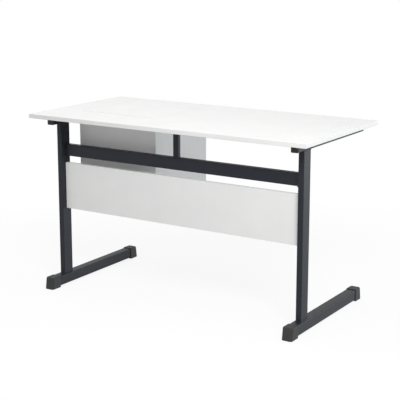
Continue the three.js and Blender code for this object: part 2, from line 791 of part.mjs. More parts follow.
function strutCylinder() {
  const bore = strutRodRadius + seatGap;
  const boreFloor = rodEnd + seatGap;
  const profile = [
    [0, -boreFloor],
    [bore, -boreFloor],
    [bore, -strutHead],
    [strutCylinderRadius - strutChamfer, -strutHead],
    [strutCylinderRadius, -strutHead - strutChamfer],
    [strutCylinderRadius, strutChamfer - cylinderEnd],
    [strutCylinderRadius - strutChamfer, -cylinderEnd],
    [strutRodRadius, -cylinderEnd],
    [strutRodRadius, -strutShut],
    [0, -strutShut],
  ].map(([radius, height]) => new THREE.Vector2(radius, height));
  const barrel = new THREE.LatheGeometry(profile.reverse(), roundSteps).rotateX(Math.PI / 2);
  return join(barrel, strutEye(strutShut));
}

// Bracket under the lid: a plate, a lug with a round end and the pin that the rod's eye turns on
function strutBracket(inward) {
  const near = inward * (strutEyeWidth / 2 + seatGap);
  const far = near + inward * lugThickness;
  const plateTop = carryTop - (hingeAxisZ - strutLidDrop);
  const lugOutline = new THREE.Shape();
  lugOutline.moveTo(lugRadius, plateTop);
  lugOutline.lineTo(-lugRadius, plateTop);
  lugOutline.absarc(0, 0, lugRadius, Math.PI, 2 * Math.PI);
  lugOutline.closePath();
  const lug = extrude(lugOutline, lugThickness, alongX, holeSteps / 2).translate((near + far) / 2, 0, 0);
  const plateEnd = near + inward * lugPlateWidth;
  const plate = block(
    [Math.min(near, plateEnd), Math.max(near, plateEnd)],
    [-lugRadius, lugRadius],
    [plateTop - lugPlateThickness, plateTop],
  );
  const pinLow = -inward * (strutEyeWidth / 2 + strutPinEnd);
  const pinMiddle = (pinLow + far) / 2;
  const pin = rod(strutPinRadius, Math.abs(far - pinLow), alongX).translate(pinMiddle, 0, 0);
  const plateMiddle = plateTop - lugPlateThickness / 2;
  const reach = lugPlateThickness + 2 * cutPast;
  const holes = [lugHoleReach, lugHoleReach + lugHoleSpacing].map((x) =>
    drill(lugHoleRadius, reach, alongZ, near + inward * x, 0, plateMiddle),
  );
  return cut(join(lug, plate, pin), ...holes);
}

// Stud on the side wall, with a flange on the wall and a round head against the strut's lower eye
function strutStud() {
  const length = strutWallGap - strutEyeWidth / 2 - 2 * seatGap;
  const profile = [
    [0, 0],
    [studFlangeRadius, 0],
    [studFlangeRadius, studFlange],
    [studShankRadius, studFlange],
    [studShankRadius, length - studHead],
    [studHeadRadius, length - studHead],
    [studHeadRadius, length],
    [0, length],
  ].map(([radius, height]) => new THREE.Vector2(radius, height));
  return new THREE.LatheGeometry(profile, roundSteps).rotateZ(-Math.PI / 2);
}

function addStruts() {
  const lidPivotY = hingeAxisY + strutLidReach;
  const lidPivotZ = hingeAxisZ - strutLidDrop;
  for (const [sideName, side] of [["left", -1], ["right", 1]]) {
    const inward = -side;
    const wallX = compartmentX + side * innerHalfWidth;
    const x = wallX + inward * strutWallGap;
    const strut = new THREE.Group();
    strut.position.set(x, lidPivotY, lidPivotZ);
    strut.rotation.x = strutTilt;
    table.add(strut);
    strut.add(addPiece(`strut_rod_${sideName}`, strutRod(), finishes.rod));
    strut.add(addPiece(`strut_cylinder_${sideName}`, strutCylinder(), finishes.strut));

    const bracket = addPiece(`strut_lid_bracket_${sideName}`, strutBracket(inward), finishes.zinc);
    bracket.position.set(x, lidPivotY, lidPivotZ);
    const stud = addPiece(`strut_wall_stud_${sideName}`, strutStud(), finishes.zinc);
    stud.rotation.z = inward > 0 ? 0 : Math.PI;
    stud.position.set(wallX + inward * seatGap, hingeAxisY + strutWallReach, hingeAxisZ - strutWallDrop);
  }
}

// Push latch: a body on the user-side wall with a blind bore for its plunger
function addLatch() {
  const latchY = innerUserY - seatGap - latchDepth / 2;
  const bodyTop = carryTop - latchDrop;
  const plungerUnder = carryTop - plungerLength;
  const boreUnder = plungerUnder - plungerTravel - boreEnd;
  const outline = roundedRectangle(new THREE.Shape(), latchWidth, latchDepth, tubeCornerRadius);
  const body = extrude(outline, latchHeight, alongZ).translate(0, 0, bodyTop - latchHeight / 2);
  const boreLength = bodyTop + cutPast - boreUnder;
  const bore = rod(plungerRadius + seatGap, boreLength, alongZ);
  bore.translate(0, 0, boreUnder + boreLength / 2);
  const bodyMiddle = bodyTop - latchHeight / 2;
  const screwHoles = [-latchHoleSpacing / 2, latchHoleSpacing / 2].map((x) =>
    drill(latchHoleRadius, latchDepth + 2 * cutPast, alongY, x, 0, bodyMiddle),
  );
  const latchGeometry = cut(body, bore, ...screwHoles);
  addPiece("latch_body", latchGeometry, finishes.latch).position.set(compartmentX, latchY, 0);

  const profile = [
    [0, plungerUnder],
    [plungerRadius, plungerUnder],
    [plungerRadius, carryTop - plungerNose],
    [plungerRadius - plungerNose, carryTop],
    [0, carryTop],
  ].map(([radius, height]) => new THREE.Vector2(radius, height));
  const plungerGeometry = new THREE.LatheGeometry(profile, roundSteps).rotateX(Math.PI / 2);
  addPiece("latch_plunger", plungerGeometry, finishes.glide).position.set(compartmentX, latchY, 0);
}

addWorktop();
addEdgeBands();
addLeg("left", -1);
addLeg("right", 1);
addBeam();
addPost();
addPanel();
addCompartment();
addRails();
addLid();
addHinges();
addMonitorPlate();
addStruts();
addLatch();

export default table;
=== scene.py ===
# Training table on two C-legs, with a flip-up lid over a hung compartment, dressed for rendering
# Metres, +Z up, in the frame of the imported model
import math

import bmesh
import bpy
from mathutils import Matrix, Vector


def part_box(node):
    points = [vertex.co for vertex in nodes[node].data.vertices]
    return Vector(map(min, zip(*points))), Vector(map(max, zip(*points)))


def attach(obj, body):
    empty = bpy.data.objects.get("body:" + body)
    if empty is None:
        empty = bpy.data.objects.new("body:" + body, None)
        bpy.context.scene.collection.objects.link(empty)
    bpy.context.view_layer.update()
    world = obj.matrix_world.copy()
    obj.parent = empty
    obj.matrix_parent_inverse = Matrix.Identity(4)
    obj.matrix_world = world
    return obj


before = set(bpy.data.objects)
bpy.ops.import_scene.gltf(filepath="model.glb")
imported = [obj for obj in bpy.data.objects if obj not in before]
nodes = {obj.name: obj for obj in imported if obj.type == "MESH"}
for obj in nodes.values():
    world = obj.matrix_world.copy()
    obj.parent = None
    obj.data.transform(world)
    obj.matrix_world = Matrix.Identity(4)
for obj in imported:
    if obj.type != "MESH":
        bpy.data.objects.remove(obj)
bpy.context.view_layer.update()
mm = 0.001
up = (0, 0, 1)
down = (0, 0, -1)
materials = {}


# Node trees
def srgb(red, green, blue):
    """A colour given as 8-bit screen values, made linear"""
    def linear(value):
        share = value / 255
        return share / 12.92 if share <= 0.04045 else ((share + 0.055) / 1.055) ** 2.4
    return (linear(red), linear(green), linear(blue), 1.0)


def grey(value):
    return (value, value, value, 1.0)


def add_node(tree, kind, **settings):
    made = tree.nodes.new(kind)
    for name, value in settings.items():
        setattr(made, name, value)
    return made


def object_pattern(tree, kind, scale, stretch=(1, 1, 1), **inputs):
    """A procedural texture that is fixed to the piece"""
    place = add_node(tree, "ShaderNodeTexCoord")
    mapping = add_node(tree, "ShaderNodeMapping")
    mapping.inputs["Scale"].default_value = stretch
    pattern = add_node(tree, kind)
    pattern.inputs["Scale"].default_value = scale
    for name, value in inputs.items():
        pattern.inputs[name].default_value = value
    tree.links.new(place.outputs["Object"], mapping.inputs["Vector"])
    tree.links.new(mapping.outputs["Vector"], pattern.inputs["Vector"])
    return pattern


def noise(tree, scale, detail, stretch=(1, 1, 1), **inputs):
    pattern = object_pattern(tree, "ShaderNodeTexNoise", scale, stretch, Detail=detail, **inputs)
    return pattern.outputs["Fac"]


def spread(tree, source, low, high, start=0.3, end=0.7):
    """Turns a pattern's middle range into values from low to high"""
    ranged = add_node(tree, "ShaderNodeMapRange")
    ranged.inputs["From Min"].default_value = start
    ranged.inputs["From Max"].default_value = end
    ranged.inputs["To Min"].default_value = low
    ranged.inputs["To Max"].default_value = high
    tree.links.new(source, ranged.inputs["Value"])
    return ranged.outputs["Result"]


def mix_colours(tree, factor, first, second):
    mixed = add_node(tree, "ShaderNodeMix", data_type="RGBA")
    colour_inputs = [socket for socket in mixed.inputs if socket.type == "RGBA"]
    colour_inputs[0].default_value = first
    colour_inputs[1].default_value = second
    tree.links.new(factor, mixed.inputs["Factor"])
    return [socket for socket in mixed.outputs if socket.type == "RGBA"][0]


def add_bump(tree, height, strength, depth, below=None):
    bump = add_node(tree, "ShaderNodeBump")
    bump.inputs["Strength"].default_value = strength
    bump.inputs["Distance"].default_value = depth
    tree.links.new(height, bump.inputs["Height"])
    if below is not None:
        tree.links.new(below, bump.inputs["Normal"])
    return bump.outputs["Normal"]


def new_material(name):
    material = bpy.data.materials.new(name)
    material.use_nodes = True
    materials[name] = material
    tree = material.node_tree
    return tree, tree.nodes["Principled BSDF"]


# Materials: the scales of patterns are in repeats per metre
coat_cloud_scale = 9.0
metal_cloud_scale = 60.0
zinc_grain_scale = 900.0
grain_share = 0.45
cloud_share = 0.55
grain_strength = 0.6
swell_strength = 0.5
metal_strength = 0.4


def moulded(name, dark, light, rough, grain, depth, swell=180, swell_depth=0.0, gloss=0.5):
    """A coated or moulded surface: fine grain over a slow swell, with uneven gloss"""
    tree, shader = new_material(name)
    fine = noise(tree, grain, 4.0, Roughness=0.6)
    slow = noise(tree, swell, 2.0)
    cloud = noise(tree, coat_cloud_scale, 3.0)
    part_cloud = add_node(tree, "ShaderNodeMath", operation="MULTIPLY")
    part_cloud.inputs[1].default_value = cloud_share
    tree.links.new(cloud, part_cloud.inputs[0])
    blend = add_node(tree, "ShaderNodeMath", operation="MULTIPLY_ADD")
    blend.inputs[1].default_value = grain_share
    tree.links.new(fine, blend.inputs[0])
    tree.links.new(part_cloud.outputs[0], blend.inputs[2])
    share = spread(tree, blend.outputs[0], 0.0, 1.0)
    tree.links.new(mix_colours(tree, share, dark, light), shader.inputs["Base Color"])
    tree.links.new(spread(tree, slow, rough[0], rough[1]), shader.inputs["Roughness"])
    normal = add_bump(tree, slow, swell_strength, swell_depth) if swell_depth else None
    tree.links.new(add_bump(tree, fine, grain_strength, depth, normal), shader.inputs["Normal"])
    shader.inputs["Specular IOR Level"].default_value = gloss


def brushed(name, dark, light, rough, grain, depth, stretch=(1, 1, 1)):
    """Bare metal with fine marks, drawn out into lines where the pattern is stretched"""
    tree, shader = new_material(name)
    lines = noise(tree, grain, 3.0, stretch)
    cloud = noise(tree, metal_cloud_scale, 2.0)
    share = spread(tree, lines, 0.0, 1.0)
    tree.links.new(mix_colours(tree, share, dark, light), shader.inputs["Base Color"])
    tree.links.new(spread(tree, cloud, rough[0], rough[1]), shader.inputs["Roughness"])
    tree.links.new(add_bump(tree, lines, metal_strength, depth), shader.inputs["Normal"])
    shader.inputs["Metallic"].default_value = 1.0


def galvanised(name, dark, light, rough, cell, depth):
    """Zinc-plated steel with faint crystal patches"""
    tree, shader = new_material(name)
    cells = object_pattern(tree, "ShaderNodeTexVoronoi", cell, Randomness=1.0)
    grains = noise(tree, zinc_grain_scale, 3.0)
    tone = add_node(tree, "ShaderNodeSeparateColor")
    tree.links.new(cells.outputs["Color"], tone.inputs["Color"])
    tree.links.new(mix_colours(tree, tone.outputs["Red"], dark, light), shader.inputs["Base Color"])
    rough_share = spread(tree, tone.outputs["Green"], rough[0], rough[1], 0.0, 1.0)
    tree.links.new(rough_share, shader.inputs["Roughness"])
    tree.links.new(add_bump(tree, grains, metal_strength, depth), shader.inputs["Normal"])
    shader.inputs["Metallic"].default_value = 1.0


moulded(
    "white_board",
    dark=srgb(240, 241, 240),
    light=srgb(247, 247, 246),
    rough=(0.44, 0.56),
    grain=1100,
    depth=0.03 * mm,
    swell=240,
    swell_depth=0.04 * mm,
)
moulded(
    "edge_plastic",
    dark=srgb(236, 237, 236),
    light=srgb(244, 244, 243),
    rough=(0.36, 0.46),
    grain=1500,
    depth=0.015 * mm,
    swell=200,
    swell_depth=0.03 * mm,
)
moulded(
    "frame_paint",
    dark=srgb(35, 38, 44),
    light=srgb(42, 45, 53),
    rough=(0.38, 0.5),
    grain=1300,
    depth=0.03 * mm,
    swell=380,
    swell_depth=0.05 * mm,
    gloss=0.2,
)
moulded(
    "cap_plastic",
    dark=srgb(50, 50, 50),
    light=srgb(57, 57, 57),
    rough=(0.52, 0.66),
    grain=1900,
    depth=0.05 * mm,
    swell=300,
    swell_depth=0.02 * mm,
    gloss=0.3,
)
moulded(
    "glide_plastic",
    dark=srgb(196, 195, 190),
    light=srgb(212, 211, 206),
    rough=(0.5, 0.62),
    grain=1600,
    depth=0.05 * mm,
)
galvanised(
    "zinc_steel",
    dark=srgb(158, 161, 164),
    light=srgb(192, 194, 196),
    rough=(0.3, 0.44),
    cell=320,
    depth=0.01 * mm,
)
moulded(
    "hinge_paint",
    dark=srgb(238, 239, 238),
    light=srgb(245, 245, 244),
    rough=(0.34, 0.44),
    grain=1300,
    depth=0.02 * mm,
    swell=380,
    swell_depth=0.03 * mm,
)
moulded(
    "strut_paint",
    dark=srgb(22, 23, 24),
    light=srgb(29, 30, 31),
    rough=(0.24, 0.36),
    grain=1200,
    depth=0.01 * mm,
    swell=320,
    swell_depth=0.03 * mm,
)
brushed(
    "rod_chrome",
    dark=srgb(208, 210, 212),
    light=srgb(224, 226, 228),
    rough=(0.07, 0.13),
    grain=30,
    depth=0.004 * mm,
    stretch=(1, 1, 60),
)
moulded(
    "latch_plastic",
    dark=srgb(128, 130, 132),
    light=srgb(140, 142, 144),
    rough=(0.45, 0.58),
    grain=1700,
    depth=0.04 * mm,
)
brushed(
    "screw_steel",
    dark=srgb(170, 171, 172),
    light=srgb(200, 201, 202),
    rough=(0.24, 0.36),
    grain=700,
    depth=0.01 * mm,
)
brushed(
    "bolt_black",
    dark=srgb(44, 45, 47),
    light=srgb(60, 61, 63),
    rough=(0.36, 0.48),
    grain=700,
    depth=0.01 * mm,
)
moulded(
    "wiper_rubber",
    dark=srgb(24, 24, 24),
    light=srgb(34, 34, 34),
    rough=(0.6, 0.75),
    grain=2200,
    depth=0.03 * mm,
)

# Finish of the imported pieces: merged corners, softened edges and shading that follows the true edges
weld_distance = 0.01 * mm
flat_angle = math.radians(0.5)
bevel_segments = 3
bevel_angle = math.radians(40)
smooth_angle = math.radians(35)
edge_softness = {
    "white_board": 0.6 * mm,
    "edge_plastic": 0.2 * mm,
    "frame_paint": 0.4 * mm,
    "cap_plastic": 0.4 * mm,
    "glide_plastic": 0.4 * mm,
    "zinc_steel": 0.35 * mm,
    "hinge_paint": 0.2 * mm,
    "strut_paint": 0.3 * mm,
    "rod_chrome": 0.3 * mm,
    "latch_plastic": 0.6 * mm,
}


def smoothing_group():
    """Shades a mesh smooth, apart from edges sharper than the limit"""
    group = bpy.data.node_groups.new("smooth_by_angle", "GeometryNodeTree")
    group.interface.new_socket("Geometry", in_out="INPUT", socket_type="NodeSocketGeometry")
    group.interface.new_socket("Geometry", in_out="OUTPUT", socket_type="NodeSocketGeometry")
    start = add_node(group, "NodeGroupInput")
    end = add_node(group, "NodeGroupOutput")
    angle = add_node(group, "GeometryNodeInputMeshEdgeAngle")
    sharp = add_node(group, "FunctionNodeCompare", data_type="FLOAT", operation="GREATER_THAN")
    sharp.inputs["B"].default_value = smooth_angle
    normals = add_node(group, "GeometryNodeSetMeshNormal", mode="SHARPNESS")
    normals.inputs["Remove Custom"].default_value = True
    normals.inputs["Face Sharpness"].default_value = False
    group.links.new(angle.outputs["Unsigned Angle"], sharp.inputs["A"])
    group.links.new(start.outputs["Geometry"], normals.inputs["Mesh"])
    group.links.new(sharp.outputs["Result"], normals.inputs["Edge Sharpness"])
    group.links.new(normals.outputs["Mesh"], end.inputs["Geometry"])
    return group


smooth_by_angle = smoothing_group()


def soften(piece, width):
    weld = piece.modifiers.new("weld", "WELD")
    weld.merge_threshold = weld_distance
    planar = piece.modifiers.new("planar", "DECIMATE")
    planar.decimate_type = "DISSOLVE"
    planar.angle_limit = flat_angle
    bevel = piece.modifiers.new("bevel", "BEVEL")
    bevel.width = width
    bevel.segments = bevel_segments
    bevel.limit_method = "ANGLE"
    bevel.angle_limit = bevel_angle
    shading = piece.modifiers.new("shading", "NODES")
    shading.node_group = smooth_by_angle
    weighted = piece.modifiers.new("weighted", "WEIGHTED_NORMAL")
    weighted.keep_sharp = True


for node in nodes.values():
    slot_name = node.material_slots[0].material.name.split(".")[0]
    node.material_slots[0].material = materials[slot_name]
    soften(node, edge_softness[slot_name])


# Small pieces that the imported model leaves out
def link_piece(name, mesh, material, body):
    mesh.polygons.foreach_set("use_smooth", [True] * len(mesh.polygons))
    mesh.set_sharp_from_angle(angle=smooth_angle)
    mesh.materials.append(materials[material])
    piece = bpy.data.objects.new(name, mesh)
    bpy.context.scene.collection.objects.link(piece)
    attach(piece, body)


def lathe(profile, segments=24):
    """A solid turned about Z from pairs of radius and height; a radius of 0 closes it on the axis"""
    solid = bmesh.new()
    rings = []
    for radius, height in profile:
        if radius == 0:
            rings.append([solid.verts.new((0, 0, height))])
            continue
        ring = []
        for step in range(segments):
            turn = 2 * math.pi * step / segments
            ring.append(solid.verts.new((radius * math.cos(turn), radius * math.sin(turn), height)))
        rings.append(ring)
    for lower, upper in zip(rings, rings[1:]):
        for step in range(segments):
            after = (step + 1) % segments
            if len(lower) == 1:
                solid.faces.new((lower[0], upper[after], upper[step]))
            elif len(upper) == 1:
                solid.faces.new((lower[step], lower[after], upper[0]))
            else:
                solid.faces.new((lower[step], lower[after], upper[after], upper[step]))
    first, last = rings[0], rings[-1]
    if len(first) > 1:
        for step in range(segments):
            after = (step + 1) % segments
            solid.faces.new((last[step], last[after], first[after], first[step]))
    bmesh.ops.recalc_face_normals(solid, faces=solid.faces)
    return solid


def prism(outline, low, high):
    solid = bmesh.new()
    bottom = [solid.verts.new((x, y, low)) for x, y in outline]
    top = [solid.verts.new((x, y, high)) for x, y in outline]
    solid.faces.new(list(reversed(bottom)))
    solid.faces.new(top)
    count = len(outline)
    for step in range(count):
        after = (step + 1) % count
        solid.faces.new((bottom[step], bottom[after], top[after], top[step]))
    return solid


def to_mesh(solid, name):
    mesh = bpy.data.meshes.new(name)
    solid.to_mesh(mesh)
    solid.free()
    return mesh


def add_solid(solid, other):
    """Puts the faces of another solid into one, and frees the other"""
    mesh = to_mesh(other, "other")
    solid.from_mesh(mesh)
    bpy.data.meshes.remove(mesh)


def combine(first, second, operation):
    """The boolean of two solids as a new mesh"""
    pair = []
    for name, solid in (("first", first), ("second", second)):
        piece = bpy.data.objects.new(name, to_mesh(solid, name))
        bpy.context.scene.collection.objects.link(piece)
        pair.append(piece)
    boolean = pair[0].modifiers.new("boolean", "BOOLEAN")
    boolean.operation = operation
    boolean.solver = "EXACT"
    boolean.object = pair[1]
    graph = bpy.context.evaluated_depsgraph_get()
    mesh = bpy.data.meshes.new_from_object(pair[0].evaluated_get(graph))
    for piece in pair:
        old = piece.data
        bpy.data.objects.remove(piece)
        bpy.data.meshes.remove(old)
    return mesh


def cross_outline(reach, half_width):
    """The corners of a cross with four equal arms"""
    a, b = reach, half_width
    return [
        (a, -b), (a, b), (b, b), (b, a), (-b, a), (-b, b),
        (-a, b), (-a, -b), (-b, -b), (-b, -a), (b, -a), (b, -b),
    ]


recess_half_width = 0.13


def pan_screw(radius, height):
    """A domed cross-recess head that stands on z = 0"""
    recess_reach = 0.55
    shares = [
        (0.0, 0.0), (0.97, 0.0), (1.0, 0.14), (0.97, 0.42),
        (0.86, 0.72), (0.66, 0.9), (0.36, 0.98), (0.0, 1.0),
    ]
    head = lathe([(radius * share, height * rise) for share, rise in shares])
    cross = cross_outline(recess_reach * radius, recess_half_width * radius)
    recess = prism(cross, 0.4 * height, 1.5 * height)
    return combine(head, recess, "DIFFERENCE")


def sunk_screw(radius, depth):
    """A countersunk cross-recess head, a hair below z = 0"""
    recess_reach = 0.58
    top = -0.05 * mm
    profile = [
        (0.0, -depth),
        (0.5 * radius, -depth),
        (0.95 * radius, top - 0.25 * mm),
        (radius, top - 0.1 * mm),
        (0.97 * radius, top),
        (0.0, top),
    ]
    cross = cross_outline(recess_reach * radius, recess_half_width * radius)
    recess = prism(cross, -0.6 * depth, depth)
    return combine(lathe(profile), recess, "DIFFERENCE")


def hex_bolt(flats, height, washer_radius, washer_height):
    """A chamfered hexagon head on a washer, standing on z = 0"""
    corner = flats / math.sqrt(3)
    turns = [math.radians(60 * step) for step in range(6)]
    low, high = washer_height, washer_height + height
    hexagon = prism([(corner * math.cos(turn), corner * math.sin(turn)) for turn in turns], low, high)
    clear_radius = 1.02 * corner
    chamfer_drop = 0.16 * flats
    face_radius = 0.45 * flats
    dome_profile = [
        (0, low - mm),
        (clear_radius, low - mm),
        (clear_radius, high - chamfer_drop),
        (face_radius, high),
        (0, high),
    ]
    mesh = combine(hexagon, lathe(dome_profile, 48), "INTERSECT")
    rim = 0.15 * washer_height
    washer_profile = [
        (0.0, 0.0),
        (washer_radius - rim, 0.0),
        (washer_radius, rim),
        (washer_radius, washer_height - rim),
        (washer_radius - rim, washer_height),
        (0.0, washer_height),
    ]
    solid = bmesh.new()
    solid.from_mesh(mesh)
    add_solid(solid, lathe(washer_profile, 32))
    solid.to_mesh(mesh)
    solid.free()
    return mesh


def facing(place, direction, turn=0.0):
    """A matrix that stands a piece's Z along a direction"""
    swing = Vector(direction).to_track_quat("Z", "Y").to_matrix().to_4x4()
    return Matrix.Translation(place) @ swing @ Matrix.Rotation(turn, 4, "Z")


screw_turn = 0.7


def scatter(name, template, places, material, body):
    """One piece made of copies of a template, each turned a little differently"""
    solid = bmesh.new()
    for index, (place, direction) in enumerate(places):
        copy = template.copy()
        copy.transform(facing(place, direction, screw_turn * index))
        solid.from_mesh(copy)
        bpy.data.meshes.remove(copy)
    link_piece(name, to_mesh(solid, name), material, body)


def either_side(spacing):
    """The offsets of two holes from the middle between them"""
    return (-spacing / 2, spacing / 2)


# Weld beads of the legs, the beam and the post
tube_corner = 4.0 * mm
leg_bead = 1.9 * mm
post_bead = 1.6 * mm
bead_sides = 8
bead_step = 1.0 * mm
beam_bead_steps = 44
corner_steps = 4


def bead_swell(index):
    """The share by which a bead is thicker or thinner at a step: ripples on a slow wave"""
    return 1 + 0.09 * math.sin(2.1 * index) + 0.05 * math.sin(0.37 * index + 1.3)


def bead_taper(steps_from_end):
    """The share of its thickness that an open bead has near its ends"""
    return min(1.0, 0.35 + 0.22 * steps_from_end)


def weld_bead(name, points, radius, closed):
    """A rippled weld bead along a path"""
    solid = bmesh.new()
    rings = []
    count = len(points)
    for index, point in enumerate(points):
        before = points[index - 1] if closed or index else point
        after = points[(index + 1) % count] if closed or index < count - 1 else point
        along = (after - before).normalized()
        across = along.orthogonal().normalized()
        other = along.cross(across)
        taper = 1.0 if closed else bead_taper(min(index, count - 1 - index))
        ring = []
        for step in range(bead_sides):
            turn = 2 * math.pi * step / bead_sides
            offset = across * math.cos(turn) + other * math.sin(turn)
            ring.append(solid.verts.new(point + offset * radius * bead_swell(index) * taper))
        rings.append(ring)
    pairs = list(zip(rings, rings[1:]))
    if closed:
        pairs.append((rings[-1], rings[0]))
    for first, second in pairs:
        for step in range(bead_sides):
            after = (step + 1) % bead_sides
            solid.faces.new((first[step], first[after], second[after], second[step]))
    if not closed:
        solid.faces.new(list(reversed(rings[0])))
        solid.faces.new(rings[-1])
    bmesh.ops.recalc_face_normals(solid, faces=solid.faces)
    link_piece(name, to_mesh(solid, name), "frame_paint", "frame")


def tube_path(low, high, z):
    """Points round a tube's section with its round corners, at one height"""
    points = []
    corners = [
        (high.x - tube_corner, high.y - tube_corner, 0.0),
        (low.x + tube_corner, high.y - tube_corner, 90.0),
        (low.x + tube_corner, low.y + tube_corner, 180.0),
        (high.x - tube_corner, low.y + tube_corner, 270.0),
    ]

    def on_corner(corner, degrees):
        x, y, start = corner
        turn = math.radians(start + degrees)
        return Vector((x + tube_corner * math.cos(turn), y + tube_corner * math.sin(turn), z))

    for index, corner in enumerate(corners):
        for part in range(corner_steps + 1):
            points.append(on_corner(corner, 90 / corner_steps * part))
        start_point = points[-1]
        gap = on_corner(corners[(index + 1) % len(corners)], 0.0) - start_point
        count = int(gap.length / bead_step)
        for part in range(1, count):
            points.append(start_point + gap * (part / count))
    return points


for side in ("left", "right"):
    low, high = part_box(f"{side}_upright")
    foot_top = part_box(f"{side}_foot_tube")[1].z
    arm_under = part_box(f"{side}_top_arm")[0].z
    weld_bead(f"{side}_weld_foot", tube_path(low, high, foot_top), leg_bead, True)
    weld_bead(f"{side}_weld_arm", tube_path(low, high, arm_under), leg_bead, True)

beam_low, beam_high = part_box("cross_beam")
for side, x in (("left", beam_low.x), ("right", beam_high.x)):
    start = Vector((x, beam_low.y, beam_low.z + tube_corner))
    length = beam_high.z - beam_low.z - 2 * tube_corner
    steps = range(beam_bead_steps + 1)
    line = [start + Vector((0, 0, length * step / beam_bead_steps)) for step in steps]
    weld_bead(f"{side}_weld_beam", line, leg_bead, False)

post_low, post_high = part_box("centre_post")
post_plate_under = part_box("centre_post_plate")[0].z
weld_bead("post_weld_beam", tube_path(post_low, post_high, beam_high.z), post_bead, True)
weld_bead("post_weld_plate", tube_path(post_low, post_high, post_plate_under), post_bead, True)

# Bolts through the beam's end plates, in line with the plates' holes
bolt_edge = 9.0 * mm
bolt_spacing = 28.0 * mm
bolt = hex_bolt(flats=10.0 * mm, height=4.0 * mm, washer_radius=6.0 * mm, washer_height=1.2 * mm)
bolt_places = []
for side, inward in (("left", 1), ("right", -1)):
    low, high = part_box(f"beam_end_plate_{side}")
    x = high.x if inward > 0 else low.x
    middle = (low.z + high.z) / 2
    for offset in either_side(bolt_spacing):
        bolt_places.append((Vector((x, low.y + bolt_edge, middle + offset)), (inward, 0, 0)))
scatter("beam_bolts", bolt, bolt_places, "bolt_black", "frame")

# Screws of the panel brackets, on the panel and on the uprights
bracket_thickness = 2.5 * mm
bracket_seat_hole = 8.25 * mm
bracket_hole_reach = 28.0 * mm
bracket_hole_spacing = 22.0 * mm
screw = pan_screw(radius=4.2 * mm, height=2.6 * mm)
bracket_places = []
for side, inward in (("left", 1), ("right", -1)):
    for level in ("upper", "lower"):
        low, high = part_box(f"panel_bracket_{side}_{level}")
        corner = low.x if inward > 0 else high.x
        middle = (low.z + high.z) / 2
        flange_x = corner + inward * bracket_hole_reach
        seat_x = corner + inward * bracket_thickness
        for offset in either_side(bracket_hole_spacing):
            flange = Vector((flange_x, low.y + bracket_thickness, middle + offset))
            seat = Vector((seat_x, low.y + bracket_seat_hole, middle + offset))
            bracket_places.append((flange, (0, 1, 0)))
            bracket_places.append((seat, (inward, 0, 0)))
scatter("bracket_screws", screw, bracket_places, "screw_steel", "frame")

# Screws of the compartment's rails, into the side walls and up into the worktop
rail_thickness = 2.0 * mm
rail_middle = 13.5 * mm
rail_hole_spacing = 130.0 * mm
rail_places = []
for side, outward in (("left", -1), ("right", 1)):
    low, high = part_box(f"compartment_rail_{side}")
    wall = high.x if outward < 0 else low.x
    middle = (low.y + high.y) / 2
    for offset in (-rail_hole_spacing, 0, rail_hole_spacing):
        y = middle + offset
        on_wall = Vector((wall + outward * rail_thickness, y, high.z - rail_middle))
        on_top = Vector((wall + outward * rail_middle, y, high.z - rail_thickness))
        rail_places.append((on_wall, (outward, 0, 0)))
        rail_places.append((on_top, down))
scatter("rail_screws", screw, rail_places, "screw_steel", "frame")

# Screws up into the worktop, inside the arms and through the post's plate
tube_wall = 2.0 * mm
arm_screw_inset = 30.0 * mm
post_plate_hole_spacing = 60.0 * mm
top_places = []
for side in ("left", "right"):
    low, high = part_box(f"{side}_top_arm")
    x = (low.x + high.x) / 2
    for y in (low.y + arm_screw_inset, (low.y + high.y) / 2, high.y - arm_screw_inset):
        top_places.append((Vector((x, y, high.z - tube_wall)), down))
low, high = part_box("centre_post_plate")
for offset in either_side(post_plate_hole_spacing):
    top_places.append((Vector((offset, (low.y + high.y) / 2, low.z)), down))
scatter("worktop_screws", screw, top_places, "screw_steel", "frame")

# Countersunk screws of the hinges
leaf_hole_spacing = 32.0 * mm
leaf_hole_reach = 12.0 * mm
leaf_reach = 20.0 * mm
leaf_hole_inset = leaf_reach - leaf_hole_reach
hinge_screw = sunk_screw(radius=3.1 * mm, depth=1.7 * mm)
for leaf, body in (("top", "frame"), ("lid", "lid")):
    hinge_places = []
    for side in ("left", "right"):
        low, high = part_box(f"hinge_leaf_{leaf}_{side}")
        y = low.y + leaf_hole_inset if leaf == "top" else high.y - leaf_hole_inset
        middle = (low.x + high.x) / 2
        for offset in either_side(leaf_hole_spacing):
            hinge_places.append((Vector((middle + offset, y, high.z)), up))
    scatter(f"hinge_screws_{leaf}", hinge_screw, hinge_places, "hinge_paint", body)

# Screws of the strut brackets and of the monitor plate under the lid
lug_hole_reach = 8.5 * mm
lug_hole_spacing = 8.0 * mm
lug_plate_width = 22.0 * mm
lug_plate_thickness = 2.0 * mm
small_screw = pan_screw(radius=3.2 * mm, height=1.9 * mm)
lug_places = []
for side, inward in (("left", 1), ("right", -1)):
    low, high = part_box(f"strut_lid_bracket_{side}")
    near = high.x - lug_plate_width if inward > 0 else low.x + lug_plate_width
    y = (low.y + high.y) / 2
    z = high.z - lug_plate_thickness
    for reach in (lug_hole_reach, lug_hole_reach + lug_hole_spacing):
        lug_places.append((Vector((near + inward * reach, y, z)), down))
scatter("lug_screws", small_screw, lug_places, "screw_steel", "lid")

monitor_screw_spacing = 60.0 * mm
low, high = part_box("monitor_plate")
middle = (low + high) / 2
monitor_places = []
for x in either_side(monitor_screw_spacing):
    for y in either_side(monitor_screw_spacing):
        monitor_places.append((Vector((middle.x + x, middle.y + y, low.z)), down))
scatter("monitor_plate_screws", screw, monitor_places, "screw_steel", "lid")

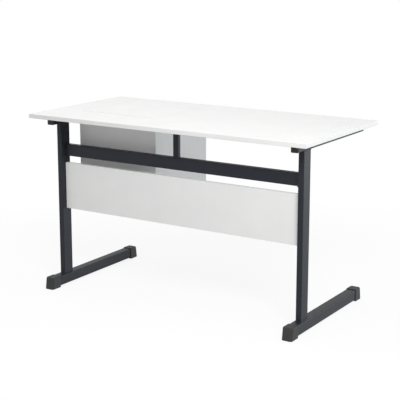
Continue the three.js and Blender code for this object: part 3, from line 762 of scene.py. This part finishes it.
# Screws of the latch
latch_hole_spacing = 17.0 * mm
latch_screw = pan_screw(radius=2.6 * mm, height=1.6 * mm)
low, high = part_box("latch_body")
middle = (low + high) / 2
latch_places = []
for offset in either_side(latch_hole_spacing):
    latch_places.append((Vector((middle.x + offset, low.y, middle.z)), (0, -1, 0)))
scatter("latch_screws", latch_screw, latch_places, "screw_steel", "frame")

for template in (bolt, screw, hinge_screw, small_screw, latch_screw):
    bpy.data.meshes.remove(template)

# Rubber wiper and rolled seams of the gas struts, along the line between the pivots
lid_pivot = Vector((0, -67.0, 730.0)) * mm
wall_pivot = Vector((0, -7.0, 537.5)) * mm
strut_axis = (wall_pivot - lid_pivot).normalized()
head_reach = 40.0 * mm
tail_reach = 187.6 * mm
barrel_radius = 9.0 * mm
rod_bore = 4.3 * mm
wiper_rise = 1.4 * mm
wiper_lip = 0.6 * mm
wiper_shoulder_inset = 2.4 * mm
wiper_shoulder_rise = 0.4 * mm
wiper_base_inset = 1.6 * mm
wiper_segments = 32
seam_rise = 0.35 * mm
seam_half = 1.3 * mm
seam_flat_half = 0.4 * seam_half
seam_inset = 7.0 * mm
seam_segments = 40
wiper_profile = [
    (rod_bore, head_reach - wiper_rise),
    (rod_bore + wiper_lip, head_reach - wiper_rise),
    (barrel_radius - wiper_shoulder_inset, head_reach - wiper_shoulder_rise),
    (barrel_radius - wiper_base_inset, head_reach),
    (rod_bore, head_reach),
]


def seam_profile(middle):
    return [
        (barrel_radius - seam_rise, middle - seam_half),
        (barrel_radius, middle - seam_half),
        (barrel_radius + seam_rise, middle - seam_flat_half),
        (barrel_radius + seam_rise, middle + seam_flat_half),
        (barrel_radius, middle + seam_half),
        (barrel_radius - seam_rise, middle + seam_half),
    ]


for side in ("left", "right"):
    body = f"strut_cylinder_{side}"
    low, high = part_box(body)
    stand = facing(Vector(((low.x + high.x) / 2, lid_pivot.y, lid_pivot.z)), strut_axis)
    wiper_mesh = to_mesh(lathe(wiper_profile, wiper_segments), f"strut_wiper_{side}")
    wiper_mesh.transform(stand)
    link_piece(f"strut_wiper_{side}", wiper_mesh, "wiper_rubber", body)
    seams = bmesh.new()
    for reach in (head_reach + seam_inset, tail_reach - seam_inset):
        add_solid(seams, lathe(seam_profile(reach), seam_segments))
    seam_mesh = to_mesh(seams, f"strut_seams_{side}")
    seam_mesh.transform(stand)
    link_piece(f"strut_seams_{side}", seam_mesh, "strut_paint", body)


# Floor that fades to white, and a white surround
floor_radius = 30.0
floor_segments = 64
fade_start = 0.9
fade_end = 1.9
floor_grain_scale = 40.0
floor_bounce_low = 0.48
floor_bounce_high = 0.52
floor_shadow_share = 0.14
floor_glow = 0.87
ambient = 0.4


def seen_directly(tree):
    """1 for rays from the camera, from gloss and through glass, and 0 for diffuse light"""
    path = add_node(tree, "ShaderNodeLightPath")
    total = path.outputs["Is Camera Ray"]
    for name in ("Is Glossy Ray", "Is Transmission Ray"):
        larger = add_node(tree, "ShaderNodeMath", operation="MAXIMUM")
        tree.links.new(total, larger.inputs[0])
        tree.links.new(path.outputs[name], larger.inputs[1])
        total = larger.outputs[0]
    return total


def mix_shaders(tree, factor, first, second):
    mixed = add_node(tree, "ShaderNodeMixShader")
    tree.links.new(factor, mixed.inputs["Fac"])
    tree.links.new(first.outputs[0], mixed.inputs[1])
    tree.links.new(second.outputs[0], mixed.inputs[2])
    return mixed


def floor_material():
    """Near white with a soft shadow, and plain white farther out; to diffuse light it is grey"""
    tree, shader = new_material("floor")
    tree.nodes.remove(shader)
    place = add_node(tree, "ShaderNodeTexCoord")
    distance = add_node(tree, "ShaderNodeVectorMath", operation="LENGTH")
    tree.links.new(place.outputs["Object"], distance.inputs[0])
    fade = spread(tree, distance.outputs["Value"], 0.0, 1.0, fade_start, fade_end)
    grain = noise(tree, floor_grain_scale, 3.0)
    bounce = add_node(tree, "ShaderNodeBsdfDiffuse")
    tint = mix_colours(tree, grain, grey(floor_bounce_low), grey(floor_bounce_high))
    tree.links.new(tint, bounce.inputs["Color"])
    shade = add_node(tree, "ShaderNodeBsdfDiffuse")
    shade.inputs["Color"].default_value = grey(floor_shadow_share)
    glow = add_node(tree, "ShaderNodeEmission")
    glow.inputs["Strength"].default_value = floor_glow
    shadowed = add_node(tree, "ShaderNodeAddShader")
    tree.links.new(shade.outputs[0], shadowed.inputs[0])
    tree.links.new(glow.outputs[0], shadowed.inputs[1])
    white = add_node(tree, "ShaderNodeEmission")
    white.inputs["Strength"].default_value = 1.0
    seen = mix_shaders(tree, fade, shadowed, white)
    choice = mix_shaders(tree, seen_directly(tree), bounce, seen)
    tree.links.new(choice.outputs[0], tree.nodes["Material Output"].inputs["Surface"])
    return materials["floor"]


def add_floor():
    disc = bmesh.new()
    bmesh.ops.create_circle(disc, cap_ends=True, segments=floor_segments, radius=floor_radius)
    floor = bpy.data.objects.new("floor", to_mesh(disc, "floor"))
    floor.data.materials.append(floor_material())
    bpy.context.scene.collection.objects.link(floor)


def set_world():
    world = bpy.data.worlds.new("surround")
    bpy.context.scene.world = world
    world.use_nodes = True
    tree = world.node_tree
    background = tree.nodes["Background"]
    background.inputs["Color"].default_value = grey(1.0)
    strength = spread(tree, seen_directly(tree), ambient, 1.0, 0.0, 1.0)
    tree.links.new(strength, background.inputs["Strength"])


def add_softbox(name, place, aim, width, height, power, tint=(1.0, 1.0, 1.0)):
    lamp = bpy.data.lights.new(name, "AREA")
    lamp.shape = "RECTANGLE"
    lamp.size = width
    lamp.size_y = height
    lamp.energy = power
    lamp.color = tint
    softbox = bpy.data.objects.new(name, lamp)
    softbox.location = place
    softbox.rotation_euler = (Vector(aim) - Vector(place)).to_track_quat("-Z", "Y").to_euler()
    bpy.context.scene.collection.objects.link(softbox)


add_floor()
set_world()
add_softbox(
    "overhead",
    place=(-0.9, 0.1, 2.5),
    aim=(-0.35, 0.0, 0.7),
    width=2.0,
    height=1.4,
    power=12.5,
)
add_softbox(
    "front_right",
    place=(2.0, -2.2, 2.6),
    aim=(0.1, -0.2, 0.5),
    width=1.4,
    height=1.2,
    power=82.0,
)
add_softbox(
    "right_back",
    place=(4.0, 5.0, 0.5),
    aim=(0.0, 0.0, 0.45),
    width=3.0,
    height=1.0,
    power=92.0,
    tint=(0.9, 0.96, 1.0),
)

# Camera at the photograph's angle
look_down = 11.7647
look_turn = 32.7554
lens = bpy.data.cameras.new("camera")
lens.lens = 98.21
lens.sensor_width = 36.0
lens.shift_y = -0.075
camera = bpy.data.objects.new("camera", lens)
camera.location = (2.3992, -3.7303, 1.4611)
camera.rotation_euler = (math.radians(90 - look_down), 0.0, math.radians(look_turn))
bpy.context.scene.collection.objects.link(camera)
bpy.context.scene.camera = camera

bpy.context.scene.view_settings.view_transform = "Standard"
